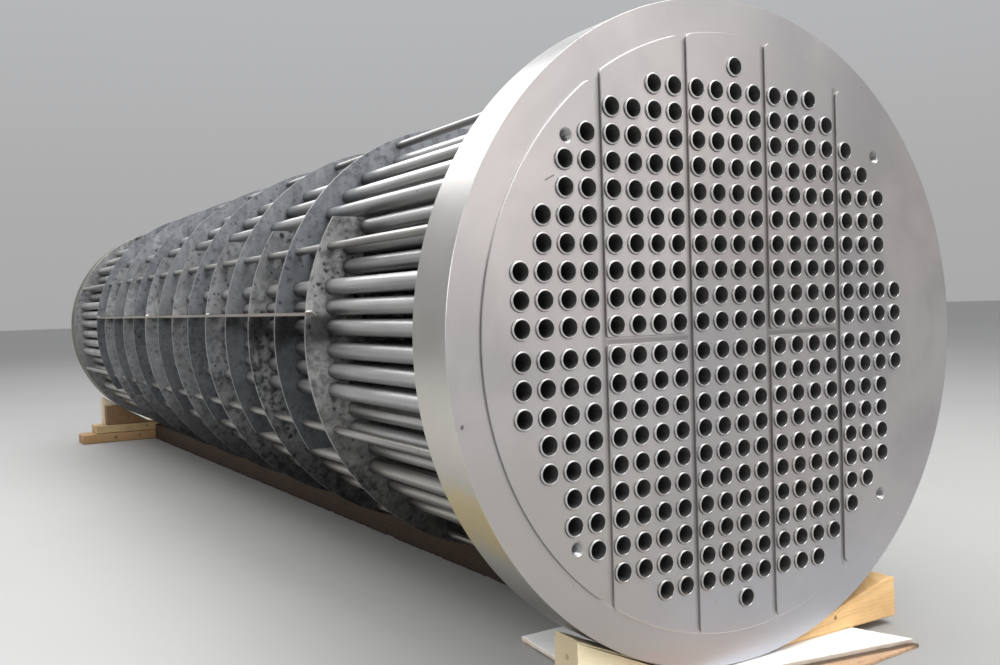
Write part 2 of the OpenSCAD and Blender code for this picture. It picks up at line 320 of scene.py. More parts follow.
def mat_machined(name, dark=(0.47, 0.46, 0.45), light=(0.63, 0.62, 0.60), rough=0.36, tarnish=0.25, rings=True, marks_and_painted_light=False, rim_painted_light=0.0, rim_tint=1.0):
    """Turned steel: fine rings round the bundle's axis, faint smears, a few dark specks and handling stains; where
    asked, also painted reflections, painted shade and painted highlights.
    """
    m, nt, bs = new_mat(name)
    n = N(nt)
    p = n.obj()
    x, y, z = n.sep(p)
    zc = n.math("SUBTRACT", z, AXIS * MM)
    r = n.math("SQRT", n.math("ADD", n.math("MULTIPLY", x, x), n.math("MULTIPLY", zc, zc)))
    wob = n.noise(p, 3.0, 3, 0.5)
    cloud = n.noise(p, 5.5, 4, 0.55, 0.6)
    fine = n.noise(p, 60.0, 3, 0.6)
    col = n.mix(n.rng(cloud, 0.35, 0.68, smooth=True), dark, light)
    # cool and pinkish drifts over the whole face
    drift = n.noise(n.map(p, loc=(1.3, 0.2, 4.1)), 2.2, 2, 0.5)
    col = n.mix(n.rng(drift, 0.35, 0.65, 0.0, 0.5, smooth=True), col, tuple(c * v for c, v in zip(light, (0.90, 0.93, 0.99))))
    warm = n.mix(n.math("MULTIPLY", n.rng(wob, 0.4, 0.7, smooth=True), tarnish), col, tuple(c * v for c, v in zip(light, (1.0, 0.94, 0.90))))
    if rim_painted_light > 0:
        # painted reflection: a faint yellowish tint low on the rim's left side
        low = n.math("MULTIPLY", n.rng(z, 0.62, 0.18, smooth=True), n.rng(x, 0.0, -0.30, smooth=True))
        warm = n.mix(n.math("MULTIPLY", low, rim_painted_light), warm, tuple(c * v for c, v in zip(light, (0.90, 0.87, 0.76))))
        # painted reflection: a stronger yellow patch in a band low on the rim's left
        zw = n.math("ADD", z, n.math("MULTIPLY", n.math("SUBTRACT", n.noise(p, 22.0, 3), 0.5), 0.05))
        spot = n.math("MULTIPLY", n.math("MULTIPLY", n.rng(zw, 0.290, 0.250, smooth=True), n.rng(zw, 0.180, 0.225, smooth=True)), n.rng(x, -0.25, -0.33, smooth=True))
        warm = n.mix(n.math("MULTIPLY", spot, rim_painted_light), warm, tuple(c * v for c, v in zip(light, (1.16, 0.92, 0.42))))
        # painted shade: the rim grows much darker low down, over its left half
        foot = n.math("ADD", n.rng(z, 0.37, 0.23, 0.0, 0.34, smooth=True), n.rng(z, 0.22, 0.09, 0.0, 0.66, smooth=True))
        warm = n.dull(n.math("MULTIPLY", foot, n.rng(x, 0.05, -0.10, smooth=True)), warm, 0.25)
    # faint specks
    sp = n.voronoi(p, 34.0)
    speck = n.math("MULTIPLY", n.rng(sp, 0.07, 0.035), n.rng(n.noise(p, 9.0, 2), 0.56, 0.62))
    col2 = n.mix(n.math("MULTIPLY", speck, 0.55), warm, (0.16, 0.15, 0.15))
    if marks_and_painted_light:
        at = lambda mx, my, mz: (mx * MM, (my - Y_MID) * MM, (mz + AXIS) * MM)
        # painted shade along the groove floors
        groove_shade = None
        for g in GROOVE_X:
            h = math.sqrt(RAISED_R ** 2 - g * g)
            one = n.line(p, at(g + 2.4, 6, -h + 9), at(g + 2.4, 6, h - 9), 0.0008, 0.0046)
            groove_shade = one if groove_shade is None else n.math("MAXIMUM", groove_shade, one)
        for g0, g1 in ((GROOVE_X[0], GROOVE_X[1]), (GROOVE_X[2], GROOVE_X[3])):
            groove_shade = n.math("MAXIMUM", groove_shade, n.line(p, at(g0 + 4, 6, -1), at(g1 - 4, 6, -1), 0.0012, 0.0030))
        col2 = n.dull(groove_shade, col2, 0.66)
        # painted highlight along the panels' lower edge
        er = n.math("ABSOLUTE", n.math("SUBTRACT", r, (RAISED_R - 0.5) * MM))
        lower_edge_highlight = n.math("MULTIPLY", n.rng(er, 0.0016, 0.0008), n.math("MULTIPLY", n.rng(z, 0.135, 0.115, smooth=True), n.rng(x, 0.16, 0.0, 0.0, 1.0, smooth=True)))
        col2 = n.mix(n.math("MULTIPLY", lower_edge_highlight, 0.75), col2, (0.86, 0.855, 0.85))
        # painted shade makes the face a little darker at the top and low on the left, and painted light makes it
        # brighter and cooler at the bottom
        col2 = n.dull(n.rng(z, 0.56, 0.80, smooth=True), col2, 0.84)
        col2 = n.dull(n.math("MULTIPLY", n.rng(z, 0.36, 0.26, smooth=True), n.rng(x, -0.20, -0.32, smooth=True)), col2, 0.87)
        bottom_reflection = n.math("MULTIPLY", n.rng(z, 0.20, 0.02, smooth=True), n.rng(x, -0.30, -0.15, smooth=True))
        col2 = n.mix(n.math("MULTIPLY", bottom_reflection, 0.85), col2, tuple(min(1, c * v) for c, v in zip(light, (1.13, 1.21, 1.30))))
        w1 = n.math("MULTIPLY", n.math("SUBTRACT", n.noise(p, 90.0, 2), 0.5), 0.004)
        col2 = n.mix(n.math("MULTIPLY", n.line(p, at(-402.3, 6, -84.2), at(-402.0, 6, -82.6), 0.0012, 0.0012), 0.85), col2, (0.06, 0.05, 0.05))
        col2 = n.mix(n.math("MULTIPLY", n.line(p, at(-231.7, 3, -269.3), at(-224.2, 3, -302.1), 0.0003, 0.0034, w1), 0.16), col2, (0.45, 0.36, 0.25))
        col2 = n.mix(n.math("MULTIPLY", n.line(p, at(-226.5, 3, -300.5), at(-222.8, 3, -302.8), 0.0006, 0.0022, w1), 0.35), col2, (0.45, 0.30, 0.20))
        beige = n.math("MULTIPLY", n.rng(z, 0.40, 0.22, smooth=True), n.rng(x, -0.08, -0.22, smooth=True))
        col2 = n.mix(n.math("MULTIPLY", beige, 0.6), col2, tuple(c * v for c, v in zip(light, (0.92, 0.91, 0.84))))
        cut = n.math("MAXIMUM", n.line(p, at(-288.7, 3, 183.6), at(-277.2, 3, 189.5), 0.0003, 0.0011), n.line(p, at(-352, 6, 120), at(-340, 6, 131), 0.0002, 0.0005))
        col2 = n.mix(n.math("MULTIPLY", cut, 0.8), col2, (0.12, 0.11, 0.11))
    n.put(bs.inputs["Base Color"], col2)
    bs.inputs["Metallic"].default_value = 1.0
    bs.inputs["Specular Tint"].default_value = (rim_tint, rim_tint, rim_tint, 1.0)
    ro = n.math("ADD", n.math("MULTIPLY", cloud, 0.10), n.math("MULTIPLY", fine, 0.06))
    n.put(bs.inputs["Roughness"], n.math("ADD", ro, rough - 0.08))
    if rings:
        rr = n.comb(n.math("MULTIPLY", r, 900.0), n.math("MULTIPLY", y, 900.0), 0.0)
        lines = n.noise(rr, 1.0, 2, 0.6)
        n.put(bs.inputs["Normal"], n.bump(lines, 0.12, 0.0002))
    else:
        n.put(bs.inputs["Normal"], n.bump(fine, 0.1, 0.0003))
    return m


def mat_wall(name):
    """The step round the raised panels: dark down the left side, with a painted highlight that makes it bright at the
    top and along the bottom.
    """
    m, nt, bs = new_mat(name)
    n = N(nt)
    p = n.obj()
    x, y, z = n.sep(p)
    fine = n.noise(p, 60.0, 3, 0.6)
    zw = n.math("ADD", z, n.math("MULTIPLY", n.math("SUBTRACT", n.noise(p, 14.0, 3), 0.5), 0.03))
    # painted highlight: bright and less metallic at the top left and along the bottom
    top = n.math("MULTIPLY", n.rng(zw, 0.50, 0.60, smooth=True), n.rng(x, 0.0, -0.12, smooth=True))
    foot = n.math("MULTIPLY", n.rng(zw, 0.135, 0.10, smooth=True), n.rng(x, 0.12, 0.0, smooth=True))
    zc = n.math("SUBTRACT", z, AXIS * MM)
    r = n.math("SQRT", n.math("ADD", n.math("MULTIPLY", x, x), n.math("MULTIPLY", zc, zc)))
    lit = n.math("MULTIPLY", n.math("MAXIMUM", top, foot), n.rng(r, (RAISED_R - 4.5) * MM, (RAISED_R - 1.5) * MM))
    n.put(bs.inputs["Base Color"], n.mix(lit, (0.41, 0.40, 0.385), (0.90, 0.90, 0.89)))
    n.put(bs.inputs["Metallic"], n.rng(lit, 0.0, 1.0, 1.0, 0.15))
    n.put(bs.inputs["Roughness"], n.rng(fine, 0.2, 0.8, 0.35, 0.45))
    return m


def mat_tube(name, base=(0.56, 0.56, 0.55), baffle_shade=True):
    """Drawn steel tube: satin, drawn along its length, each tube a little different, with dark spots and scratches,
    painted reflection and shade low in the bundle, and painted shade underneath and where it enters a baffle."""
    m, nt, bs = new_mat(name)
    n = N(nt)
    p = n.obj()
    x, y, z = n.sep(p)
    tone = n.attr("tone")
    along = n.map(p, scale=(220.0, 3.0, 220.0))
    streak = n.noise(along, 1.0, 4, 0.6)
    patch = n.noise(n.map(p, scale=(30.0, 5.0, 30.0)), 1.0, 3, 0.5)
    v = n.math("ADD", n.math("MULTIPLY", n.math("SUBTRACT", tone, 0.5), 0.5), n.math("MULTIPLY", n.math("SUBTRACT", streak, 0.5), 0.35))
    f = n.math("ADD", n.rng(patch, 0.3, 0.7), v, clamp=True)
    col = n.mix(f, tuple(c * 0.76 for c in base), tuple(min(1, c * 1.14) for c in base))
    warm = n.mix(n.math("MULTIPLY", n.rng(n.noise(n.map(p, scale=(25.0, 2.0, 25.0), loc=(3, 1, 2)), 1.0, 2), 0.5, 0.72), 0.35), col,
                 tuple(c * v for c, v in zip(base, (1.0, 0.93, 0.82))))
    # painted reflection: lower tubes take a warm tint; painted shade: they are darker too
    low = n.math("MULTIPLY", n.rng(z, 0.33, 0.14, smooth=True), 0.6)
    warm = n.mix(low, warm, tuple(c * v for c, v in zip(base, (0.98, 0.90, 0.74))))
    warm = n.dull(n.rng(z, 0.34, 0.16, 0.0, 0.55, smooth=True), warm, 0.6)
    spots = n.rng(n.voronoi(n.map(p, scale=(1, 0.55, 1)), 55.0), 0.10, 0.04)
    where = n.rng(n.noise(p, 14.0, 3, 0.6), 0.56, 0.64)
    dots = n.math("MULTIPLY", n.rng(n.voronoi(n.map(p, scale=(1, 0.5, 1), loc=(7, 2, 3)), 130.0), 0.16, 0.08), n.rng(n.noise(n.map(p, loc=(4, 1, 1)), 9.0, 2), 0.57, 0.63))
    col2 = n.mix(n.math("MULTIPLY", n.math("MAXIMUM", n.math("MULTIPLY", spots, where), n.math("MULTIPLY", dots, 0.7)), 0.85), warm, (0.07, 0.07, 0.075))
    # painted shade underneath
    nz = n.sep(n.normal())[2]
    col2 = n.dull(n.rng(nz, 0.22, -0.50, 0.0, 0.90, smooth=True), col2, 0.30)
    if baffle_shade:
        # and painted shade in front of every baffle
        t = n.math("FRACT", n.math("ADD", n.math("MULTIPLY", y, 1.0 / (STEP * MM)), 50.0 - (FIRST - Y_MID) / STEP))
        near = n.math("MULTIPLY", n.rng(t, 0.80, 1.0, smooth=True), n.rng(y, (FIRST - 60 - Y_MID) * MM, (FIRST - 40 - Y_MID) * MM))
        # odd baffles are open at the top and even ones at the bottom: nothing darkens a tube there
        u = n.math("FRACT", n.math("ADD", n.math("MULTIPLY", y, 0.5 / (STEP * MM)), 50.0 - (FIRST - Y_MID) / (2 * STEP)))
        odd = n.math("GREATER_THAN", u, 0.5)
        even = n.math("SUBTRACT", 1.0, odd)
        gone = n.math("ADD", n.math("MULTIPLY", odd, n.math("GREATER_THAN", z, (AXIS + 192.7) * MM)),
                      n.math("MULTIPLY", even, n.math("LESS_THAN", z, (AXIS - 192.7) * MM)))
        near = n.math("MULTIPLY", near, n.math("SUBTRACT", 1.0, gone))
        col2 = n.dull(n.math("MULTIPLY", near, 0.6), col2, 0.45)
    n.put(bs.inputs["Base Color"], col2)
    bs.inputs["Metallic"].default_value = 1.0
    n.put(bs.inputs["Roughness"], n.rng(streak, 0.2, 0.8, 0.30, 0.42))
    n.put(bs.inputs["Normal"], n.bump(streak, 0.08, 0.0003))
    return m


def mat_bore(name):
    m, nt, bs = new_mat(name)
    n = N(nt)
    p = n.obj()
    s = n.noise(n.map(p, scale=(150.0, 8.0, 150.0)), 1.0, 3)
    n.put(bs.inputs["Base Color"], n.mix(s, (0.09, 0.09, 0.095), (0.22, 0.21, 0.20)))
    bs.inputs["Metallic"].default_value = 0.6
    n.put(bs.inputs["Roughness"], n.rng(s, 0.2, 0.8, 0.5, 0.7))
    return m


def mat_scale(name, base, light, spot=0.5, spots_scale=26.0, seed=0.0, shade=True, edge_lo=0.08, under_strip_shade=0.3, mottle=0.6, crown=0.0):
    """Hot rolled plate: blue-grey rolling skin with dark spots and rubbed patches, with painted shade that deepens
    downwards and a painted shadow under each side strip; its cut edges are brighter metal with a painted highlight."""
    m, nt, bs = new_mat(name)
    n = N(nt)
    p0 = n.obj()
    x0, y0, z0 = n.sep(p0)
    p = n.map(p0, loc=(seed, seed * 0.7, -seed * 1.3))
    cloud = n.noise(p, 4.0, 5, 0.6, 0.8)
    mid = n.noise(p, 22.0, 4, 0.65)
    grit = n.noise(p, 95.0, 3, 0.6)
    streak = n.noise(n.map(p, scale=(34.0, 2.0, 2.2)), 1.0, 4, 0.6)
    f = n.math("ADD", n.rng(cloud, 0.3, 0.7, 0.0, 0.6), n.rng(mid, 0.35, 0.7, 0.0, 0.45), clamp=True)
    f = n.math("ADD", f, n.math("MULTIPLY", n.math("SUBTRACT", grit, 0.5), 0.5), clamp=True)
    col = n.mix(f, base, light)
    # rain streaks and rubbed lines run down the plates, most of all near the top
    top = n.rng(z0, 0.50, 0.72, 0.15, 1.0, smooth=True)
    col = n.mix(n.math("MULTIPLY", n.rng(streak, 0.50, 0.72, 0.0, 0.65), top), col, tuple(min(1, c * 1.28) for c in light))
    col = n.mix(n.math("MULTIPLY", n.rng(streak, 0.48, 0.30, 0.0, 0.5), top), col, tuple(c * 0.6 for c in base))
    d1 = n.voronoi(n.vmath("ADD", p, n.vmath("MULTIPLY", n.noise(p, 90.0, 2, out="Color"), (0.010, 0.010, 0.010))), spots_scale * 1.7)
    d2 = n.voronoi(n.vmath("ADD", p, n.vmath("MULTIPLY", n.noise(p, 190.0, 2, out="Color"), (0.005, 0.005, 0.005))), spots_scale * 3.6)
    zone = n.rng(n.noise(n.map(p, loc=(5, 5, 5)), 7.0, 3), 0.40, 0.55)
    zone2 = n.rng(n.noise(n.map(p, loc=(1, 8, 2)), 9.0, 3), 0.42, 0.55)
    s1 = n.math("MULTIPLY", n.rng(d1, 0.24, 0.13), zone)
    s2 = n.math("MULTIPLY", n.rng(d2, 0.30, 0.17), n.math("MULTIPLY", zone2, 0.8))
    smear = n.math("MULTIPLY", n.rng(n.noise(n.map(p, loc=(3, 3, 9)), 15.0, 5, 0.75), 0.54, 0.68), 0.55)
    # small soft mottling, as of hammered scale
    mo = n.noise(n.vmath("ADD", n.map(p, loc=(2, 6, 7)), n.vmath("MULTIPLY", n.noise(p, 30.0, 2, out="Color"), (0.02, 0.02, 0.02))), 75.0, 3, 0.55)
    patch = n.rng(n.noise(n.map(p, loc=(6, 2, 8)), 6.5, 3), 0.36, 0.58, 0.25, 1.0)
    motl = n.math("MULTIPLY", n.rng(mo, 0.49, 0.62), n.math("MULTIPLY", patch, mottle))
    col = n.dull(motl, col, 0.28)
    pale_m = n.math("MULTIPLY", n.rng(mo, 0.46, 0.34), n.math("MULTIPLY", patch, mottle * 0.5))
    col = n.mix(pale_m, col, tuple(min(1, c * 1.35) for c in light))
    sp = n.math("MULTIPLY", n.math("MAXIMUM", n.math("MAXIMUM", s1, s2), smear), spot)
    col = n.mix(sp, col, (0.022, 0.023, 0.027))
    if shade:
        # painted shadow: a dark blotch hangs under each side strip
        ax = n.math("ABSOLUTE", x0)
        bx = n.math("MULTIPLY", n.math("SUBTRACT", ax, 0.352), 0.9)
        # large on the first plates, a thin painted shadow on the later ones
        late = n.rng(y0, (FIRST + 2.4 * STEP - Y_MID) * MM, (FIRST + 3.6 * STEP - Y_MID) * MM)
        bz = n.math("SUBTRACT", n.math("SUBTRACT", z0, (AXIS + STRIP_Z - 22) * MM), n.math("MULTIPLY", late, 0.018))
        bd = n.math("SQRT", n.math("ADD", n.math("MULTIPLY", bx, bx), n.math("MULTIPLY", bz, bz)))
        bd = n.math("ADD", bd, n.math("MULTIPLY", n.math("SUBTRACT", mid, 0.5), 0.05))
        bd = n.math("ADD", bd, n.math("MULTIPLY", late, 0.022))
        under = n.rng(z0, (AXIS + STRIP_Z + 6) * MM, (AXIS + STRIP_Z - 4) * MM)
        col = n.dull(n.math("MULTIPLY", n.rng(bd, 0.045, 0.012, 0.0, 0.95, smooth=True), under), col, 0.16)
        # painted shade: the plates are darkest just under the strips, fading downwards, and not darkened above them
        dim = n.math("MULTIPLY", n.rng(z0, 0.26, 0.44, smooth=True), under)
        col = n.dull(n.math("MULTIPLY", dim, under_strip_shade), col, 0.45)
    if crown > 0:
        # the part above the tie rods is duller
        col = n.dull(n.rng(n.math("ADD", z0, n.math("MULTIPLY", n.math("SUBTRACT", cloud, 0.5), 0.10)), 0.46, 0.60, 0.0, crown, smooth=True), col, 0.55)
    # bright cut edge: bare metal with a painted highlight, dimmed further down by painted shade
    ny = n.math("ABSOLUTE", n.sep(n.normal())[1])
    edge = n.rng(ny, 0.75, 0.45)
    rub = n.rng(n.noise(n.map(p, scale=(1, 1, 1)), 30.0, 3), 0.25, 0.6, 0.45, 1.0)
    # only the sheared front part of the edge is bright, the rest of its thickness is dull
    ye = n.math("MULTIPLY", n.math("FRACT", n.math("ADD", n.math("MULTIPLY", y0, 1.0 / (STEP * MM)), 50.0 - (FIRST - Y_MID) / STEP + 0.01)), STEP)
    front = n.rng(ye, 4.4, 5.4, 1.0, 0.25)
    em = n.math("MULTIPLY", n.math("MULTIPLY", edge, front), n.math("MULTIPLY", rub, n.rng(z0, 0.20, 0.58, edge_lo, 0.85)))
    # the painted highlight fades out near the top
    em = n.math("MULTIPLY", em, n.rng(z0, 0.62, 0.76, 1.0, 0.35, smooth=True))
    col = n.mix(em, col, (0.46, 0.46, 0.45))
    col = n.dull(n.math("MULTIPLY", edge, n.math("SUBTRACT", 1.0, front)), col, 0.55)
    if shade:
        # painted shade: much darker towards the floor
        col = n.dull(n.rng(n.math("ADD", z0, n.math("MULTIPLY", n.math("SUBTRACT", cloud, 0.5), 0.12)), 0.42, 0.10, 0.0, 0.97, smooth=True), col, 0.12)
    n.put(bs.inputs["Base Color"], col)
    n.put(bs.inputs["Metallic"], n.rng(em, 0.0, 1.0, 0.45, 1.0))
    n.put(bs.inputs["Roughness"], n.rng(em, 0.0, 1.0, 0.50, 0.33))
    h = n.math("SUBTRACT", n.math("MULTIPLY", mid, 0.6), n.math("MULTIPLY", sp, 0.7))
    n.put(bs.inputs["Normal"], n.bump(h, 0.25, 0.0008))
    return m


def mat_wood(name, pale, mid, dark, ring_scale=60.0, pith=(0, 0, 0), axis=0, tilt=(0.0, 0.0, 0.0), knots=(), rough=0.7,
             weather=0.0, grey=(0.42, 0.38, 0.33), dirt=0.3, end_dark=0.3, foot_darkening=0.0):
    """Sawn timber: growth rings round a pith line along one axis, fibres, knots, dirt and greyed weathering."""
    m, nt, bs = new_mat(name)
    n = N(nt)
    p0 = n.obj()
    p = n.map(n.vmath("SUBTRACT", p0, tuple(c * MM for c in pith)), rot=tilt)
    x, y, z = n.sep(p)
    c = [x, y, z]
    a, b = [c[k] for k in range(3) if k != axis]
    wob = n.noise(n.map(p, scale=tuple(1.2 if k == axis else 9.0 for k in range(3))), 1.0, 3, 0.5)
    wob2 = n.noise(n.map(p, scale=tuple(6.0 if k == axis else 40.0 for k in range(3))), 1.0, 2, 0.5)
    r = n.math("SQRT", n.math("ADD", n.math("MULTIPLY", a, a), n.math("MULTIPLY", b, b)))
    kd = None
    for (kx, ky, kz, kr) in knots:
        d = n.vmath("DISTANCE", p0, (kx * MM, ky * MM, kz * MM))
        bulge = n.math("MULTIPLY", n.rng(d, kr * MM * 3.2, 0.0, 0.0, 1.0, smooth=True), kr * MM * 1.6)
        r = n.math("ADD", r, bulge)
        core = n.rng(n.math("ADD", d, n.math("MULTIPLY", n.math("SUBTRACT", wob2, 0.5), kr * MM * 0.8)), kr * MM, kr * MM * 0.6)
        kd = core if kd is None else n.math("MAXIMUM", kd, core)
    rr = n.math("ADD", n.math("MULTIPLY", r, ring_scale * 4), n.math("ADD", n.math("MULTIPLY", wob, 3.0), n.math("MULTIPLY", wob2, 0.5)))
    saw = n.math("FRACT", rr)
    ring = n.ramp(saw, [(0.0, (0.05, 0.05, 0.05)), (0.55, (0.30, 0.30, 0.30)), (0.86, (0.85, 0.85, 0.85)), (0.95, (1, 1, 1)), (1.0, (0.1, 0.1, 0.1))])
    fib = n.noise(n.map(p, scale=tuple(14.0 if k == axis else 900.0 for k in range(3))), 1.0, 3, 0.6)
    blot = n.noise(p0, 12.0, 4, 0.6)
    f = n.math("ADD", n.math("MULTIPLY", ring, 0.55), n.math("MULTIPLY", n.math("SUBTRACT", fib, 0.5), 0.5), clamp=True)
    col = n.mix(f, pale, mid)
    col = n.mix(n.rng(blot, 0.45, 0.8, 0.0, 0.5), col, tuple(v * 0.75 for v in mid))
    if kd is not None:
        col = n.mix(kd, col, dark)
    if weather > 0:
        wn = n.noise(n.map(p0, loc=(2, 7, 1)), 20.0, 4, 0.65)
        col = n.mix(n.math("MULTIPLY", n.rng(wn, 0.3, 0.65), weather), col, grey)
    if dirt > 0:
        dn = n.noise(n.map(p0, loc=(9, 3, 4)), 45.0, 5, 0.7)
        col = n.mix(n.math("MULTIPLY", n.rng(dn, 0.52, 0.8), dirt), col, tuple(v * 0.35 for v in mid))
    # fresh wood where an edge is chipped
    col = n.mix(n.math("MULTIPLY", n.rng(n.attr("tone"), 0.25, 1.0), 0.45), col, tuple(min(1.0, v * 1.1) for v in pale))
    if foot_darkening > 0:
        # darker towards the foot
        col = n.dull(n.rng(n.math("ADD", n.sep(p0)[2], n.math("MULTIPLY", n.math("SUBTRACT", blot, 0.5), 0.05)), 0.045, 0.0, 0.0, foot_darkening), col, 0.35)
    # end grain is darker (end_dark sets how much; on the rear wedge it also stands in for painted shade)
    nn = n.math("ABSOLUTE", n.sep(n.normal())[axis])
    col = n.mix(n.rng(nn, 0.7, 0.95, 0.0, end_dark), col, tuple(v * 0.45 for v in mid))
    n.put(bs.inputs["Base Color"], col)
    n.put(bs.inputs["Roughness"], n.rng(fib, 0.2, 0.8, rough - 0.08, rough + 0.12))
    bs.inputs["Specular IOR Level"].default_value = 0.35
    h = n.math("ADD", n.math("MULTIPLY", fib, 0.6), n.math("MULTIPLY", ring, -0.3))
    n.put(bs.inputs["Normal"], n.bump(h, 0.5, 0.0006))
    return m


def mat_board_white(name):
    """White-faced board: scuffed white skin on a grey-brown core that shows at the edges."""
    m, nt, bs = new_mat(name)
    n = N(nt)
    p = n.obj()
    s = n.noise(p, 9.0, 4, 0.6)
    scr = n.noise(n.map(p, scale=(12.0, 160.0, 1.0), rot=(0, 0, 0.5)), 1.0, 3, 0.6)
    col = n.mix(n.rng(s, 0.4, 0.75), (0.93, 0.93, 0.93), (0.80, 0.795, 0.78))
    col = n.mix(n.rng(scr, 0.62, 0.72, 0.0, 0.35), col, (0.55, 0.54, 0.52))
    dirt = n.rng(n.voronoi(p, 70.0), 0.10, 0.04)
    col = n.mix(n.math("MULTIPLY", n.math("MULTIPLY", dirt, n.rng(n.noise(p, 11.0), 0.55, 0.65)), 0.7), col, (0.3, 0.28, 0.25))
    nz = n.sep(n.normal())[2]
    core = n.mix(n.noise(n.map(p, scale=(60, 60, 500)), 1.0, 3), (0.50, 0.43, 0.36), (0.70, 0.63, 0.55))
    col = n.mix(n.rng(nz, 0.8, 0.4), col, core)
    n.put(bs.inputs["Base Color"], col)
    n.put(bs.inputs["Roughness"], n.rng(s, 0.3, 0.7, 0.4, 0.6))
    n.put(bs.inputs["Normal"], n.bump(n.noise(p, 120.0, 3), 0.15, 0.0006))
    return m


def mat_board_brown(name):
    m, nt, bs = new_mat(name)
    n = N(nt)
    p = n.obj()
    s = n.noise(n.map(p, scale=(10, 90, 30)), 1.0, 4, 0.6)
    t = n.noise(p, 160.0, 3, 0.6)
    col = n.mix(s, (0.46, 0.27, 0.15), (0.66, 0.45, 0.29))
    col = n.mix(n.rng(t, 0.5, 0.75, 0.0, 0.5), col, (0.25, 0.15, 0.09))
    # painted shadow in a dark line along the white board's front edge
    board_edge_shadow = n.line(p, (0.252, (-64.0 - Y_MID) * MM, 0.005), (-0.20, (3.0 - Y_MID) * MM, 0.005), 0.003, 0.006)
    col = n.dull(board_edge_shadow, col, 0.22)
    n.put(bs.inputs["Base Color"], col)
    n.put(bs.inputs["Roughness"], n.rng(t, 0.3, 0.7, 0.65, 0.85))
    n.put(bs.inputs["Normal"], n.bump(t, 0.4, 0.0006))
    return m


M_FACE = mat_machined("Turned_face", dark=(0.405, 0.393, 0.396), light=(0.512, 0.492, 0.494), rough=0.42, tarnish=0.45, marks_and_painted_light=True)
M_GROOVE = mat_machined("Milled_groove", dark=(0.36, 0.36, 0.36), light=(0.47, 0.47, 0.47), rough=0.38, tarnish=0.1, rings=False)
M_RIM = mat_machined("Turned_rim", dark=(0.52, 0.52, 0.51), light=(0.65, 0.64, 0.62), rough=0.32, tarnish=0.35, rim_painted_light=0.8)
M_WALL = mat_wall("Panel_wall")
M_EDGE = mat_machined("Bright_edge", dark=(0.68, 0.68, 0.67), light=(0.80, 0.79, 0.77), rough=0.28, tarnish=0.1, rings=False)
M_TUBE = mat_tube("Drawn_tube", base=(0.635, 0.635, 0.632))
M_ROD = mat_tube("Tie_rod_bar", base=(0.56, 0.55, 0.53), baffle_shade=False)
M_LIP = mat_machined("Tube_end", dark=(0.44, 0.44, 0.44), light=(0.565, 0.56, 0.555), rough=0.39, tarnish=0.1, rings=False)
M_BORE = mat_bore("Tube_bore")
M_BAF_A = mat_scale("Rolled_plate_a", (0.30, 0.302, 0.304), (0.575, 0.575, 0.565), spot=0.9, spots_scale=26.0, seed=0.0, under_strip_shade=0.15, mottle=0.75, crown=0.85)
M_BAF_B = mat_scale("Rolled_plate_b", (0.120, 0.127, 0.142), (0.235, 0.245, 0.265), spot=0.60, spots_scale=30.0, seed=1.7, under_strip_shade=0.7, mottle=0.45)
M_BAF_B2 = mat_scale("Rolled_plate_b2", (0.15, 0.155, 0.168), (0.26, 0.268, 0.285), spot=0.45, spots_scale=24.0, seed=8.2, under_strip_shade=0.7, mottle=0.3)
M_BAF_C = mat_scale("Rolled_plate_c", (0.20, 0.205, 0.215), (0.42, 0.425, 0.43), spot=0.95, spots_scale=26.0, seed=3.1, under_strip_shade=0.55, mottle=1.0, crown=0.7)
M_BAF_D = mat_scale("Rolled_plate_d", (0.26, 0.265, 0.275), (0.47, 0.475, 0.485), spot=0.95, spots_scale=24.0, seed=6.4, under_strip_shade=0.35, mottle=0.85, crown=0.9)
M_BAF_E = mat_scale("Rolled_plate_e", (0.285, 0.29, 0.30), (0.46, 0.467, 0.48), spot=0.75, spots_scale=24.0, seed=9.9, under_strip_shade=0.62, mottle=0.50, crown=0.95)
M_REAR = mat_scale("Rolled_rear", (0.15, 0.153, 0.16), (0.25, 0.25, 0.255), spot=0.35, spots_scale=16.0, seed=5.3, shade=False)
M_REAR_RIM = mat_machined("Rear_rim", dark=(0.27, 0.27, 0.25), light=(0.38, 0.375, 0.34), rough=0.56, tarnish=0.4, rim_tint=0.25)
M_STRIP = mat_machined("Flat_bar", dark=(0.34, 0.31, 0.265), light=(0.52, 0.48, 0.41), rough=0.42, tarnish=0.4, rings=False)
M_WELD = mat_machined("Weld_metal", dark=(0.50, 0.49, 0.47), light=(0.70, 0.69, 0.66), rough=0.32, tarnish=0.2, rings=False)
M_WHITE = mat_board_white("White_board_skin")
M_BROWN = mat_board_brown("Brown_sheet")
# painted light: the left chock's colours are raised very pale so that its front, which lies in shade, looks lit
M_CHOCK_L = mat_wood("Softwood_left", (0.98, 0.86, 0.60), (0.92, 0.75, 0.46), (0.06, 0.03, 0.016), ring_scale=55.0, pith=(-200, -1491, -25), axis=0,
                     knots=((-251.5, -1494.7, 59.4, 5.0), (-251.5, -1469.0, 79.5, 2.6)), weather=0.12, grey=(0.50, 0.45, 0.38), dirt=0.28, end_dark=0.80)
M_CHOCK_R = mat_wood("Softwood_right", (0.82, 0.54, 0.26), (0.68, 0.39, 0.145), (0.07, 0.03, 0.014), ring_scale=48.0, pith=(180, -1488, -60), axis=0,
                     knots=((179.1, -1519.3, 31.9, 4.4),), weather=0.08, dirt=0.25, end_dark=0.1)
